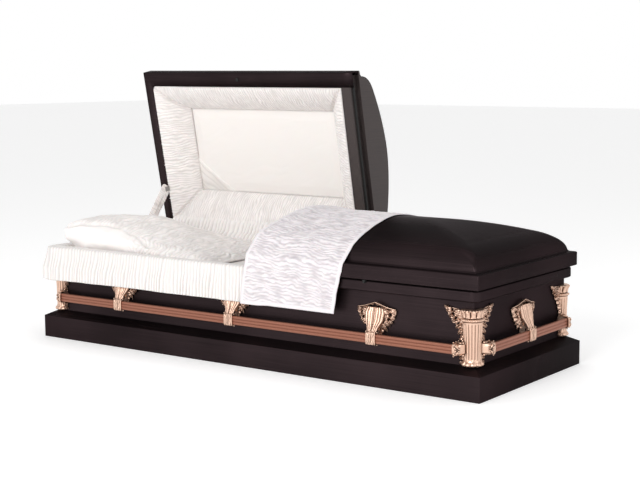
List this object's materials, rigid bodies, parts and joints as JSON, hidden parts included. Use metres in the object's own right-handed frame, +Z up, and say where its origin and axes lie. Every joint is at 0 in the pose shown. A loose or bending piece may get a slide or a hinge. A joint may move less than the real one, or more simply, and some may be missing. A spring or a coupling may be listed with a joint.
{
  "type": "funeral casket",
  "caption": "Metal casket with a divided lid, cast corners, full-length carrying bars, a quilted interior, a pillow, a cloth skirt over the rim and a throw over the closed lid.",
  "frame": {"origin": "middle of the underside, on the floor", "axes": "+X from the head end to the foot end, -Y is the front, +Z up"},
  "size_m": [2.1419, 0.886, 1.1173],
  "materials": {
    "painted_shell": "brushed dark brown satin lacquer",
    "header_plate": "brushed grey-brown satin",
    "cast_metal": "rose gold plated casting",
    "bar_metal": "matte copper",
    "rubber_strip": "matte",
    "plain_steel": "satin",
    "lining_cloth": "shirred off-white crepe",
    "throw_cloth": "crinkled pale crepe"
  },
  "bodies": {
    "casket_body": {"base_moulding": "painted_shell", "body_shell": "painted_shell", "top_moulding": "painted_shell", "gasket": "rubber_strip", "corner_casting_head_front": "cast_metal", "corner_casting_head_back": "cast_metal", "corner_casting_foot_front": "cast_metal", "corner_casting_foot_back": "cast_metal", "lug_front_1": "cast_metal", "lug_front_2": "cast_metal", "lug_front_3": "cast_metal", "lug_back_1": "cast_metal", "lug_back_2": "cast_metal", "lug_back_3": "cast_metal", "lug_head": "cast_metal", "lug_foot": "cast_metal", "bar_front": "bar_metal", "bar_back": "bar_metal", "bar_head": "bar_metal", "bar_foot": "bar_metal", "lining_front": "lining_cloth", "lining_back": "lining_cloth", "lining_head": "lining_cloth", "lining_foot": "lining_cloth", "bed_rail_front": "plain_steel", "bed_rail_back": "plain_steel", "mattress": "lining_cloth", "pillow": "lining_cloth", "skirt": "lining_cloth", "hinge_body_leaf_1": "plain_steel", "hinge_body_leaf_2": "plain_steel", "hinge_body_leaf_3": "plain_steel", "hinge_body_leaf_4": "plain_steel"},
    "head_lid": {"head_lid_shell": "painted_shell", "head_lid_header": "header_plate", "head_lid_recess_strip": "rubber_strip", "lid_border_front": "lining_cloth", "lid_border_split": "lining_cloth", "lid_border_back": "lining_cloth", "lid_border_head": "lining_cloth", "lid_lining_panel": "lining_cloth", "stay_bracket": "plain_steel", "hinge_lid_leaf_1": "plain_steel", "hinge_lid_leaf_2": "plain_steel"},
    "foot_lid": {"foot_lid_shell": "painted_shell", "foot_lid_header": "header_plate", "throw": "throw_cloth", "hinge_lid_leaf_3": "plain_steel", "hinge_lid_leaf_4": "plain_steel"},
    "stay_arm": {"stay_arm": "lining_cloth"}
  },
  "joints": [
    {"name": "head_lid_hinge", "type": "hinge", "parent": "casket_body", "child": "head_lid", "pos_m": [0, 0.367, 0.3805], "axis": [-1, 0, 0], "range_deg": [-79.3, 0]},
    {"name": "foot_lid_hinge", "type": "hinge", "parent": "casket_body", "child": "foot_lid", "pos_m": [0, 0.367, 0.3805], "axis": [-1, 0, 0], "range_deg": [0, 79.3]},
    {"name": "stay_arm_pivot", "type": "hinge", "parent": "head_lid", "child": "stay_arm", "pos_m": [-1.0075, 0.3126, 0.5768], "axis": [-1, 0, 0], "range_deg": [0, 133]}
  ],
  "couplings": [
    {"joint": "stay_arm_pivot", "follows": "head_lid_hinge", "ratio": -1.676}
  ]
}
